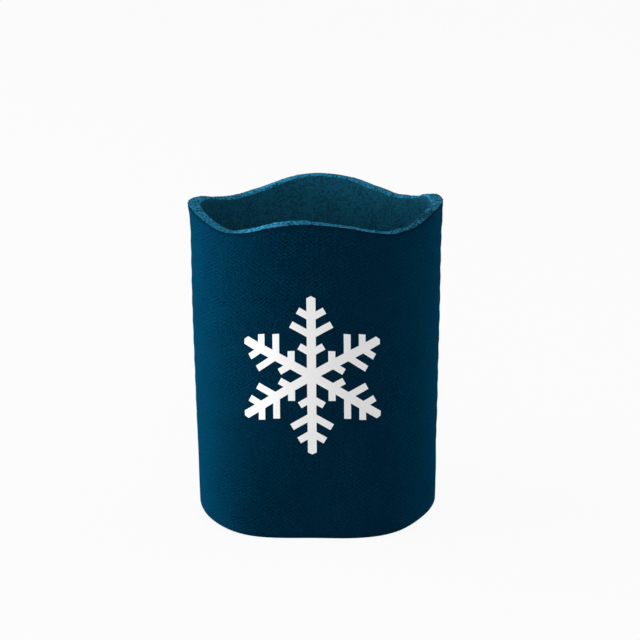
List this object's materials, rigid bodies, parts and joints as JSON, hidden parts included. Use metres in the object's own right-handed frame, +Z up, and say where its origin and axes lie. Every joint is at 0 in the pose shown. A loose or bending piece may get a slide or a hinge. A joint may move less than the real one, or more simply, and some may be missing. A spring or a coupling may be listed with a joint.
{
  "type": "foam can cooler sleeve",
  "caption": "Soft foam sleeve that slips round a drinks can to keep it cold, with a wave-cut rim, folded base, joined sides and a plain ice crystal print.",
  "frame": {"origin": "middle of the footprint, on the surface that the sleeve stands on", "axes": "+Z up out of the mouth, +X towards one side seam, -Y towards the printed front"},
  "size_m": [0.0772, 0.0745, 0.0978],
  "materials": {
    "petrol_foam": "matt knitted face bonded to soft foam, with a lighter cut edge",
    "white_ink": "matt screen ink"
  },
  "bodies": {
    "root": {"foam_sleeve": "petrol_foam", "front_print": "white_ink"}
  },
  "joints": []
}
